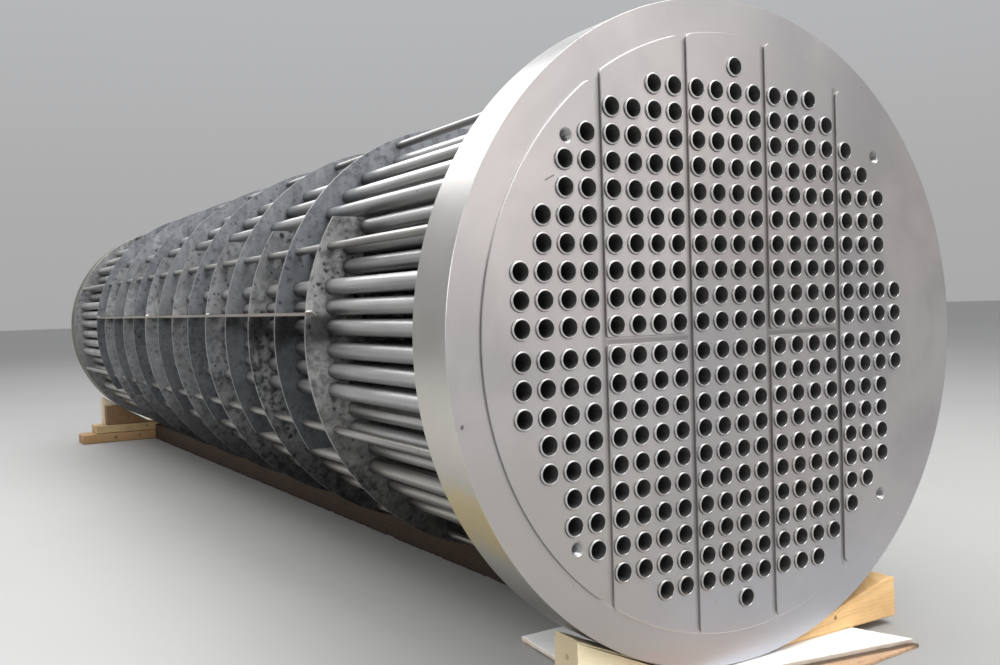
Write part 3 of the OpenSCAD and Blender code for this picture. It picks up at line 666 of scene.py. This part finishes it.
# painted shade: the long plank's colours are near black, as it lies in shade under the bundle
M_LONG = mat_wood("Long_timber_shaded", (0.066, 0.037, 0.018), (0.025, 0.016, 0.009), (0.010, 0.007, 0.005), ring_scale=30.0, pith=(0, 0, -60), axis=1,
                  knots=((-60, -700, 50, 14), (-80, 100, 45, 16), (-50, -1150, 52, 10), (-70, 800, 40, 12)), weather=0.3, grey=(0.05, 0.044, 0.037), dirt=0.6, foot_darkening=0.8)
M_PLANK = mat_wood("Rear_plank_wood", (0.48, 0.29, 0.125), (0.34, 0.185, 0.07), (0.08, 0.04, 0.02), ring_scale=36.0, pith=(0, 1583, -83), axis=0,
                   knots=((-234.4, 1533.5, 17, 7), (-147.8, 1533.5, 18, 6), (40, 1533.5, 16, 6)), weather=0.15, dirt=0.4, foot_darkening=0.4)
M_PLANK2 = mat_wood("Rear_plank_top_wood", (0.52, 0.37, 0.18), (0.38, 0.25, 0.11), (0.12, 0.06, 0.03), ring_scale=40.0, pith=(0, 1570, 130), axis=0,
                    knots=((-120, 1535.5, 52, 5), (150, 1535.5, 50, 6)), weather=0.2, dirt=0.35)
M_BLOCK = mat_wood("Rear_block_wood", (0.22, 0.12, 0.048), (0.13, 0.068, 0.028), (0.04, 0.02, 0.012), ring_scale=36.0, pith=(0, 1554, 16), axis=0, weather=0.1, dirt=0.5)
# painted shade: the wedge's end faces are darkened further
M_WEDGE = mat_wood("Rear_wedge_wood", (0.80, 0.70, 0.52), (0.68, 0.55, 0.37), (0.2, 0.12, 0.07), ring_scale=50.0, pith=(0, 1595, 26), axis=0, weather=0.25, dirt=0.2, end_dark=0.45)

# ------------------------------------------------------------------ front tubesheet
HOLE_N = 32


def panel_outline(a, b, t, inset):
    """Outline (x, z) of a raised panel between x = a and x = b (None where it reaches the rim), t = 0 for the full height,
    1 or -1 for the half above or below the cross groove; inset moves it inwards."""
    R = RAISED_R - inset
    f = 9.0 - inset
    g = 4.0 + inset
    lo = None if a is None else a + inset
    hi = None if b is None else b - inset

    def outer(xs, s, tt):
        """Corner between the straight side x = xs (panel on its s side) and the round edge."""
        cx = xs + s * f
        cz = tt * math.sqrt((R - f) ** 2 - cx * cx)
        a0 = math.pi if s > 0 else 0.0
        a1 = math.atan2(cz, cx)
        w = (a1 - a0 + math.pi) % (2 * math.pi) - math.pi
        return [(cx + f * math.cos(a0 + w * k / 8), cz + f * math.sin(a0 + w * k / 8)) for k in range(9)]

    def inner(xs, s, tt):
        cf = 5.0 - inset
        cx, cz = xs + s * cf, tt * (g + cf)
        a0 = math.pi if s > 0 else 0.0
        a1 = -tt * math.pi / 2
        w = (a1 - a0 + math.pi) % (2 * math.pi) - math.pi
        return [(cx + cf * math.cos(a0 + w * k / 6), cz + cf * math.sin(a0 + w * k / 6)) for k in range(7)]

    def edge(a0, a1):
        n = max(2, int(abs(a1 - a0) / math.radians(1.5)))
        return [(R * math.cos(a0 + (a1 - a0) * k / n), R * math.sin(a0 + (a1 - a0) * k / n)) for k in range(1, n)]

    def ang(p):
        return math.atan2(p[1], p[0])

    if lo is None or hi is None:
        s = -1 if lo is None else 1
        xs = hi if lo is None else lo
        u, l = outer(xs, s, 1), outer(xs, s, -1)
        au, al = ang(u[-1]), ang(l[-1])
        if s < 0 and al < 0:
            al += 2 * math.pi
        return u + edge(au, al) + l[::-1]
    if t == 0:
        ul, ur, ll, lr = outer(lo, 1, 1), outer(hi, -1, 1), outer(lo, 1, -1), outer(hi, -1, -1)
        return ul + edge(ang(ul[-1]), ang(ur[-1])) + ur[::-1] + lr + edge(ang(lr[-1]), ang(ll[-1])) + ll[::-1]
    o1, o2 = outer(lo, 1, t), outer(hi, -1, t)
    i1, i2 = inner(lo, 1, t), inner(hi, -1, t)
    return o1 + edge(ang(o1[-1]), ang(o2[-1])) + o2[::-1] + i2 + i1[::-1]


def orient(loop, ccw=True):
    s = sum(loop[k][0] * loop[(k + 1) % len(loop)][1] - loop[(k + 1) % len(loop)][0] * loop[k][1] for k in range(len(loop)))
    return loop if (s > 0) == ccw else loop[::-1]


GX = GROOVE_X
PANELS = [
    (None, GX[0] - 4, 0), (GX[0] + 4, GX[1] - 4, 1), (GX[0] + 4, GX[1] - 4, -1), (GX[1] + 4, GX[2] - 4, 0),
    (GX[2] + 4, GX[3] - 4, 1), (GX[2] + 4, GX[3] - 4, -1), (GX[3] + 4, None, 0),
]
LIFT = [(sx * 259.2, sz * 235.0) for sx in (-1, 1) for sz in (-1, 1)]


def in_panel(panel, x, z):
    a, b, t = panel
    if a is not None and x < a:
        return False
    if b is not None and x > b:
        return False
    return t == 0 or z * t > 0


def front_sheet():
    b = Build()
    outlines = []
    for panel in PANELS:
        o0 = orient(panel_outline(*panel, 0.0))
        o1 = orient(panel_outline(*panel, 0.25))
        o2 = orient(panel_outline(*panel, 0.8))
        outlines.append(o0)
        # wall and rounded edge, from the ring plane (y = 6) up to the raised face (y = 3)
        b.loft([[(x, 6.0, z) for x, z in o0], [(x, 3.8, z) for x, z in o0], [(x, 3.25, z) for x, z in o1], [(x, 3.0, z) for x, z in o2]],
               mat=[5, 5, 2])
        holes = [(x, z) for _, _, x, z in TUBES if in_panel(panel, x, z)]
        lifts = [(x, z) for x, z in LIFT if in_panel(panel, x, z)]
        loops = [o2]
        for x, z in holes:
            loops.append([(p[0], p[2]) for p in circle(x, z, 13.15, HOLE_N, 0)])
        for x, z in lifts:
            loops.append([(p[0], p[2]) for p in circle(x, z, 9.0, HOLE_N, 0)])
        flat_face(b, loops, 3.0, -1, 0)
        for x, z in holes:
            b.loft([circle(x, z, 13.15, HOLE_N, 3.0), circle(x, z, 12.8, HOLE_N, 3.35), circle(x, z, 12.8, HOLE_N, 86.0)], mat=[2, 1])
        for x, z in lifts:
            prof = [(9.0, 3.0), (8.0, 3.9)]
            y = 4.2
            while y < 33:
                prof += [(7.0, y), (7.0, y + 0.35), (7.95, y + 1.0), (7.95, y + 1.15)]
                y += 2.0
            prof += [(7.0, 35.0)]
            b.loft([circle(x, z, rr, HOLE_N, yy) for rr, yy in prof], mat=[2] + [1] * (len(prof) - 2))
            tip = b.verts([(x, 39.0, z)])
            ring = len(b.v) - 1 - HOLE_N
            for k in range(HOLE_N):
                b.face((ring + k, ring + (k + 1) % HOLE_N, tip), 1)
    n = 240
    c = 0.5
    # gasket ring with the groove floors
    rim = [(p[0], p[2]) for p in circle(0, 0, SHEET_R - c, n, 0)]
    flat_face(b, [rim] + outlines, 6.0, -1, 0)
    # rim with chamfers: thin loops keep the bright edges narrow
    prof = [(SHEET_R - c, 6.0), (SHEET_R, 6.0 + c), (SHEET_R, 12.0), (SHEET_R, 46.0), (SHEET_R, 80.0), (SHEET_R, 86.0 - c), (SHEET_R - c, 86.0)]
    b.loft([circle(0, 0, r, n, y) for r, y in prof], mat=[3, 3, 3, 3, 3, 4])
    # back, with the blind holes of the tie rods
    rods = [(s * tx(7), tz(i)) for s in (-1, 1) for i in (0, 21)] + [(s * tx(1), tz(i)) for s in (-1, 1) for i in (6, 15)]
    loops = [rim] + [[(p[0], p[2]) for p in circle(x, z, 12.8, HOLE_N, 0)] for _, _, x, z in TUBES]
    loops += [[(p[0], p[2]) for p in circle(x, z, 6.95, HOLE_N, 0)] for x, z in rods]
    flat_face(b, loops, 86.0, 1, 0)
    for x, z in rods:
        b.loft([circle(x, z, r, HOLE_N, y) for r, y in ((6.95, 86.0), (6.55, 85.6), (6.55, 66.0))], mat=[2, 1])
        mid = b.verts([(x, 66.0, z)])
        for k in range(HOLE_N):
            b.face((mid - HOLE_N + k, mid - HOLE_N + (k + 1) % HOLE_N, mid), 1)
    return b.make("Front_sheet", [M_FACE, M_GROOVE, M_FACE, M_RIM, M_EDGE, M_WALL], sharp=24, replaces=["front_tubesheet"])


def rear_sheet():
    b = Build()
    y0, y1 = TUBE_L - 3 - 80, TUBE_L - 3
    n, c = 200, 1.0
    rim = [(p[0], p[2]) for p in circle(0, 0, FLOAT_R - c, n, 0)]
    loops = [rim] + [[(p[0], p[2]) for p in circle(x, z, 13.15, HOLE_N, 0)] for _, _, x, z in TUBES]
    flat_face(b, loops, y0, -1, 0)
    flat_face(b, loops, y1, 1, 1)
    prof = [(FLOAT_R - c, y0), (FLOAT_R, y0 + c), (FLOAT_R, y0 + 40), (FLOAT_R, y1 - c), (FLOAT_R - c, y1)]
    b.loft([circle(0, 0, r, n, y) for r, y in prof], mat=[2, 2, 2, 3])
    for _, _, x, z in TUBES:
        b.loft([circle(x, z, 13.15, HOLE_N, y0), circle(x, z, 12.8, HOLE_N, y0 + 0.35), circle(x, z, 12.8, HOLE_N, y1 - 0.35), circle(x, z, 13.15, HOLE_N, y1)], mat=[3, 1, 3])
    return b.make("Rear_sheet", [M_REAR, M_FACE, M_REAR_RIM, M_EDGE], sharp=24, replaces=["rear_tubesheet"])


def tube_group(group, lower):
    b = Build()
    n = 30
    for i, j, x, z in TUBES:
        if (j - 1) // 4 + 1 != group or (i > 10) != lower:
            continue
        tone = float(rng.uniform(0.1, 0.9))
        ph = float(rng.uniform(0, 6.28))
        f = float(rng.uniform(0.0, 0.5))      # a mouth stands a hair further in on some tubes
        y1 = TUBE_L - float(rng.uniform(0.0, 0.5))
        # the outer corner of each end is rounded by the deburring wheel
        end = ((0.0, 1.3), (0.14, 0.75), (0.5, 0.25), (1.0, 0.0))
        prof = [(BORE_R, y1 - 0.5), (BORE_R + 0.3, y1)] + [(TUBE_R - a, y1 - c) for a, c in end[::-1]] + [(TUBE_R, TUBE_L - 83), (TUBE_R, 86.0)]
        prof += [(TUBE_R - a, f + c) for a, c in end] + [(BORE_R + 0.3, f), (BORE_R, f + 0.4), (BORE_R, 60.0), (BORE_R, y1 - 60), (BORE_R, y1 - 0.5)]
        mats = [1] * 5 + [0] * 3 + [1] * 5 + [2] * 3
        b.loft([circle(x, z, r, n, y, ph) for r, y in prof], mat=mats, tone=tone)
    # the first and the last loop coincide: they are merged below
    name = "Tubes_%s_%d" % ("lower" if lower else "upper", group)
    ob = b.make(name, [M_TUBE, M_LIP, M_BORE], sharp=30, replaces=["tubes_%s_%d" % ("lower" if lower else "upper", group)])
    return ob


front_sheet()
rear_sheet()
for g in range(1, 6):
    tube_group(g, False)
    tube_group(g, True)

# baffles keep their CAD shape
for k in range(1, 15):
    o = nodes["baffle_%02d" % k]
    o.data.materials.clear()
    o.data.materials.append({1: M_BAF_A, 2: M_BAF_B, 3: M_BAF_C, 5: M_BAF_D}.get(k, (M_BAF_B2, M_BAF_B)[k // 2 % 2] if k % 2 == 0 else M_BAF_E))


def dress(node, mat):
    o = nodes[node]
    o.data.materials.clear()
    o.data.materials.append(mat)


for s in ("left", "right"):
    dress("side_strip_" + s, M_STRIP)
for s in ("top", "bottom", "left", "right"):
    dress("tie_rods_" + s, M_ROD)


# ------------------------------------------------------------------ welds on the side strips
def bead(b, path, radius, seed):
    """A lumpy weld bead along a path of points, its ends closed."""
    pts = [Vector(p) for p in path]
    n = 12
    loops = []
    for k, p in enumerate(pts):
        d = (pts[min(k + 1, len(pts) - 1)] - pts[max(k - 1, 0)]).normalized()
        u = d.cross(Vector((0, 1, 0)))
        u = u.normalized() if u.length > 1e-4 else Vector((1, 0, 0))
        w = d.cross(u).normalized()
        end = min(k, len(pts) - 1 - k)
        r = radius * (0.35 if end == 0 else 0.8 if end == 1 else 1.0)
        loop = []
        for q in range(n):
            t = 2 * math.pi * q / n
            v = p + (u * math.cos(t) + w * math.sin(t)) * r
            v = p + (v - p) * (1 + 0.28 * noise.noise(v * 0.35 + Vector((seed, 0, 0))) + 0.12 * math.sin(k * 1.9))
            loop.append(tuple(v))
        loops.append(loop)
    base = b.loft(loops, tone=0.5)
    for loop, row in ((loops[0], base[0]), (loops[-1], base[-1])):
        c = b.verts([tuple(sum(v[k] for v in loop) / n for k in range(3))])
        for q in range(n):
            b.face((row + q, row + (q + 1) % n, c) if row == base[-1] else (row + (q + 1) % n, row + q, c))


def strip_welds(side, name):
    b = Build()
    top = STRIP_Z + 2.5
    # the long bead round the strip's front end, on the first baffle
    p = []
    for k in range(15):
        t = k / 14
        p.append((side * (372.0 - 19.0 * t), FIRST - 0.2, STRIP_Z + 3.0 + 1.4 * math.sin(math.pi * t) - 6.0 * t ** 3))
    bead(b, p, 2.1, 0.0)
    for q, k in enumerate((5, 9, 14)):
        y = FIRST + (k - 1) * STEP
        x = math.sqrt(BAFFLE_R ** 2 - top ** 2)
        bead(b, [(side * (x - 9.0 + 2.2 * i), y - 0.4, top + 0.5 + 0.7 * math.sin(i)) for i in range(5)], 2.6, 3.0 + q)
        bead(b, [(side * (x - 8.0 + 2.2 * i), y + THICK + 0.4, top + 0.3 + 0.5 * math.sin(i + 1)) for i in range(4)], 2.2, 9.0 + q)
    return b.make(name, [M_WELD], sharp=60)


strip_welds(-1, "Strip_welds_left")
strip_welds(1, "Strip_welds_right")


# ------------------------------------------------------------------ timber and boards
def worn_outline(pts, r, step):
    """The closed outline pts with rounded corners and points every step: (point, inward direction, 1 on a corner, most it
    may be pushed in)."""
    pts = [Vector(p) for k, p in enumerate(pts) if (Vector(p) - Vector(pts[k - 1])).length > 0.05]
    area = sum(pts[k - 1].x * pts[k].y - pts[k].x * pts[k - 1].y for k in range(len(pts)))
    if area < 0:
        pts = pts[::-1]
    out = []
    m = len(pts)

    def room(v, d):
        best = 1e9
        for k in range(m):
            p, e = pts[k - 1], pts[k] - pts[k - 1]
            den = d.x * e.y - d.y * e.x
            if abs(den) < 1e-9:
                continue
            w = p - v
            t = (w.x * e.y - w.y * e.x) / den
            u = (w.x * d.y - w.y * d.x) / den
            if t > 0.3 and -1e-6 <= u <= 1 + 1e-6:
                best = min(best, t)
        return best

    for k in range(m):
        a, p, b = pts[k - 1], pts[k], pts[(k + 1) % m]
        da, db = (a - p), (b - p)
        la, lb = da.length, db.length
        da, db = da.normalized(), db.normalized()
        rr = min(r, 0.35 * la, 0.35 * lb)
        na, nb = Vector((da.y, -da.x)), Vector((-db.y, db.x))
        for q in range(4):
            t = q / 3
            v = p + da * rr * (1 - t) ** 2 + db * rr * t ** 2
            d = (na + nb) / max(0.3, 1 + na.dot(nb))
            out.append((v, d, 1.0, min(step - 0.3, 0.3 * room(p, d))))
        nxt = pts[(k + 1) % m]
        r2 = min(r, 0.35 * lb, 0.35 * (pts[(k + 2) % m] - nxt).length)
        ln = lb - rr - r2
        cnt = max(1, int(ln / step))
        for q in range(1, cnt):
            w = min(q, cnt - q) * ln / cnt
            v = p + db * (rr + ln * q / cnt)
            out.append((v, nb, max(0.0, 1.0 - w / 7.0), 0.42 * room(v, nb)))
    return out


def worn(name, outline, axis, a0, a1, mat, node, r=1.4, step=4.0, rough=0.35, chip=1.6, seed=0.0, chips=0.58):
    """A sawn piece: outline (x, z) carried along y from a0 to a1, or outline (x, y) carried along z, with rounded, worn and
    chipped edges. Millimetres, x and y from the middle of the whole object, z from the ground."""
    b = Build()
    ol = worn_outline(outline, r, step)
    re = min(r, 0.35 * (a1 - a0))
    st = []
    for t in (0, 30, 60, 90):
        st.append((a0 + re * (1 - math.cos(math.radians(t))), re * (1 - math.sin(math.radians(t)))))
    cnt = max(1, int((a1 - a0 - 2 * re) / step))
    for q in range(1, cnt):
        st.append((a0 + re + (a1 - a0 - 2 * re) * q / cnt, 0.0))
    for t in (90, 60, 30, 0):
        st.append((a1 - re * (1 - math.cos(math.radians(t))), re * (1 - math.sin(math.radians(t)))))
    off = Vector((seed * 13.7, seed * 5.1, seed * 9.3))
    base, tones = [], []
    for pos, inset in st:
        loop, tone = [], []
        near = max(0.0, 1.0 - min(pos - a0, a1 - pos) / 7.0)
        for p, d, c, most in ol:
            v3 = Vector((p.x, pos, p.y) if axis == "y" else (p.x, p.y, pos))
            s1 = 0.5 + 0.5 * noise.noise(v3 * 0.035 + off)
            s2 = 0.5 + 0.5 * noise.noise(v3 * 0.16 + off * 2)
            hit = max(0.0, 0.5 + 0.5 * noise.noise(v3 * 0.075 + off * 3) + 0.12 * s2 - chips) * 4.0
            edge = max(c, near)
            bite = min(1.0, hit) * edge
            push = inset + rough * (0.6 * s1 + 0.4 * s2) + chip * bite
            q = p + d * min(push, most)
            loop.append((q.x, pos, q.y) if axis == "y" else (q.x, q.y, pos))
            tone.append(bite)
        k = b.verts(loop)
        b.tone[k:k + len(loop)] = tone
        base.append(k)
    n = len(ol)
    for k in range(len(base) - 1):
        for i in range(n):
            j = (i + 1) % n
            b.face((base[k] + i, base[k] + j, base[k + 1] + j, base[k + 1] + i))
    b.face(range(base[0], base[0] + n))
    b.face(tuple(range(base[-1], base[-1] + n))[::-1])
    return b.make(name, [mat], sharp=32, bundle=False, replaces=[node])


def slope_z(r, a, x):
    return AXIS - r * math.cos(a) + (x - r * math.sin(a)) * math.tan(a)


def slope_x(r, a, z):
    return r * math.sin(a) - (AXIS - r * math.cos(a) - z) / math.tan(a)


def chock_outline(k, r, deg, base, x1, z1):
    a = math.radians(deg)
    low = slope_x(r, a, base + 1.5)
    flat = min(x1, slope_x(r, a, z1))
    top = min(z1, slope_z(r, a, x1))
    return [(k * p[0], p[1]) for p in ((low, base), (x1, base), (x1, top), (flat, top), (low, base + 1.5))]


BOARDS = 11.5
y = lambda v: v - Y_MID
worn("Chock_front_left", chock_outline(-1, SHEET_R + 0.3, 24.2, BOARDS, 252, 200), "y", y(20), y(70), M_CHOCK_L, "front_chock_left", r=1.6, step=3.0, chip=1.6, seed=1.0, chips=0.62)
worn("Chock_front_right", chock_outline(1, SHEET_R + 0.3, 13.3, BOARDS, 304, 68), "y", y(17), y(67), M_CHOCK_R, "front_chock_right", r=1.4, step=3.0, chip=1.3, seed=2.3, chips=0.60)
for k, s in ((-1, "left"), (1, "right")):
    worn("Block_rear_" + s, chock_outline(k, FLOAT_R + 0.3, 31.0, 65.0, 264, 136), "y", y(3072), y(3110), M_BLOCK, "rear_block_" + s, seed=4.0 + k, step=4.0, chip=2.2)
    worn("Chock_rear_" + s, chock_outline(k, FLOAT_R + 0.3, 33.8, 65.0, 271, 169), "y", y(3112), y(3152), M_WEDGE, "rear_chock_" + s, seed=7.0 + k, step=4.0, chip=2.2)


def box(x0, x1, z0, z1):
    return [(x0, z0), (x1, z0), (x1, z1), (x0, z1)]


worn("Plank_rear_lower", box(-352, 344, 0, 34), "y", y(3070), y(3170), M_PLANK, "rear_plank_lower", r=2.0, step=6.0, rough=0.6, chip=3.0, seed=11.0)
worn("Plank_rear_upper", box(-304, 314, 34, 65), "y", y(3072), y(3168), M_PLANK2, "rear_plank_upper", r=2.0, step=6.0, rough=0.6, chip=3.0, seed=12.0)
LONG_TOP = AXIS - BAFFLE_R - 0.5
long_piece = worn("Plank_long", box(-75, 75, 0, LONG_TOP), "y", -1385, 1385, M_LONG, "long_plank", r=2.5, step=10.0, rough=0.9, chip=1.6, seed=15.0, chips=0.6)
turn = Matrix.Translation((0.006, (1672 - Y_MID) * MM, 0)) @ Matrix.Rotation(math.radians(1), 4, "Z")
long_piece.data.transform(turn)
worn("Sheet_brown", [(-187, y(-97)), (246, y(-66)), (132, y(266)), (-177, y(266))], "z", 0.0, 5.0, M_BROWN, "ground_sheet", r=0.9, step=6.0, rough=0.5, chip=1.2, seed=17.0)
worn("Board_white", [(-200, y(8)), (241, y(-60)), (126, y(268)), (-182, y(259))], "z", 5.0, BOARDS, M_WHITE, "white_board", r=0.9, step=6.0, rough=0.5, chip=1.4, seed=18.0)

# ------------------------------------------------------------------ stage
sc = bpy.context.scene


def stage_floor():
    n, R = 96, 40.0
    rings = [0.0, 2.0, 5.0, 10.0, 20.0, R]
    vs, fs = [(0, 0, 0)], []
    for r in rings[1:]:
        vs += [(r * math.cos(2 * math.pi * k / n), r * math.sin(2 * math.pi * k / n), 0.0) for k in range(n)]
    for k in range(n):
        fs.append((0, 1 + k, 1 + (k + 1) % n))
    for q in range(len(rings) - 2):
        a, b2 = 1 + q * n, 1 + (q + 1) * n
        for k in range(n):
            fs.append((a + k, b2 + k, b2 + (k + 1) % n, a + (k + 1) % n))
    me = bpy.data.meshes.new("Floor")
    me.from_pydata(vs, [], fs)
    m, nt, bs = new_mat("Pale_floor")
    nn = N(nt)
    p = nn.obj()
    nn.put(bs.inputs["Base Color"], nn.mix(nn.noise(p, 1.5, 4, 0.6), (0.33, 0.33, 0.325), (0.37, 0.37, 0.365)))
    bs.inputs["Roughness"].default_value = 0.65
    bs.inputs["Specular IOR Level"].default_value = 0.3
    me.materials.append(m)
    o = bpy.data.objects.new("Floor", me)
    sc.collection.objects.link(o)


stage_floor()

world = bpy.data.worlds.new("Studio")
world.use_nodes = True
wn = world.node_tree
wn.nodes.clear()
wo = wn.nodes.new("ShaderNodeOutputWorld")
bg = wn.nodes.new("ShaderNodeBackground")
wn.links.new(bg.outputs[0], wo.inputs[0])
W = N(wn)
d = wn.nodes.new("ShaderNodeTexCoord").outputs["Generated"]
wx, wy, wz = W.sep(d)
W.put(bg.inputs["Color"], W.ramp(W.rng(wz, -0.2, 1.0), [(0.0, (0.46, 0.46, 0.455)), (0.25, (0.52, 0.52, 0.525)), (0.6, (0.68, 0.69, 0.71)), (1.0, (1.0, 1.0, 1.0))]))
bg.inputs["Strength"].default_value = 0.8
sc.world = world


def area(name, loc, target, size, power, color=(1, 1, 1), size_y=None):
    l = bpy.data.lights.new(name, "AREA")
    l.energy = power
    l.color = color
    l.shape = "RECTANGLE"
    l.size = size
    l.size_y = size_y or size
    o = bpy.data.objects.new(name, l)
    sc.collection.objects.link(o)
    o.location = loc
    o.rotation_mode = "QUATERNION"
    o.rotation_quaternion = (Vector(target) - Vector(loc)).to_track_quat("-Z", "Y")
    return o


area("Overhead", (-0.6, 0.3, 4.2), (0, 0.2, 0.4), 3.0, 170, size_y=6.0)
area("Left_high", (-3.2, -0.8, 3.4), (0, -0.5, 0.4), 2.2, 95, size_y=3.5)
area("Left_front", (-5.0, -4.0, 1.9), (-0.3, -1.5, 0.5), 2.4, 38, size_y=1.5)
area("Back_high", (-0.2, 6.6, 5.6), (0, -0.5, 0.5), 4.0, 110, size_y=3.0)
area("Front_fill", (1.6, -5.0, 2.0), (0, -1.5, 0.3), 2.6, 40, color=(1.0, 0.96, 0.91))
area("Front_top", (0.5, -3.3, 3.6), (0.3, -2.1, 0.0), 2.2, 130)

# ------------------------------------------------------------------ camera
cam = bpy.data.cameras.new("Camera")
cam.lens = 36.192
cam.sensor_width = 36.0
cam.clip_start, cam.clip_end = 0.05, 200.0
co = bpy.data.objects.new("Camera", cam)
sc.collection.objects.link(co)
right = Vector((0.859012, -0.511032, -0.030747))
down = Vector((-0.041435, -0.009536, -0.999096))
fwd = Vector((0.510276, 0.859509, -0.029366))
pos = Vector((-0.910290, -2.471641, 0.479813))
co.matrix_world = Matrix((
    (right.x, -down.x, -fwd.x, pos.x),
    (right.y, -down.y, -fwd.y, pos.y),
    (right.z, -down.z, -fwd.z, pos.z),
    (0, 0, 0, 1)))
sc.camera = co

sc.view_settings.view_transform = "Standard"
sc.view_settings.look = "None"
sc.view_settings.exposure = 0.0
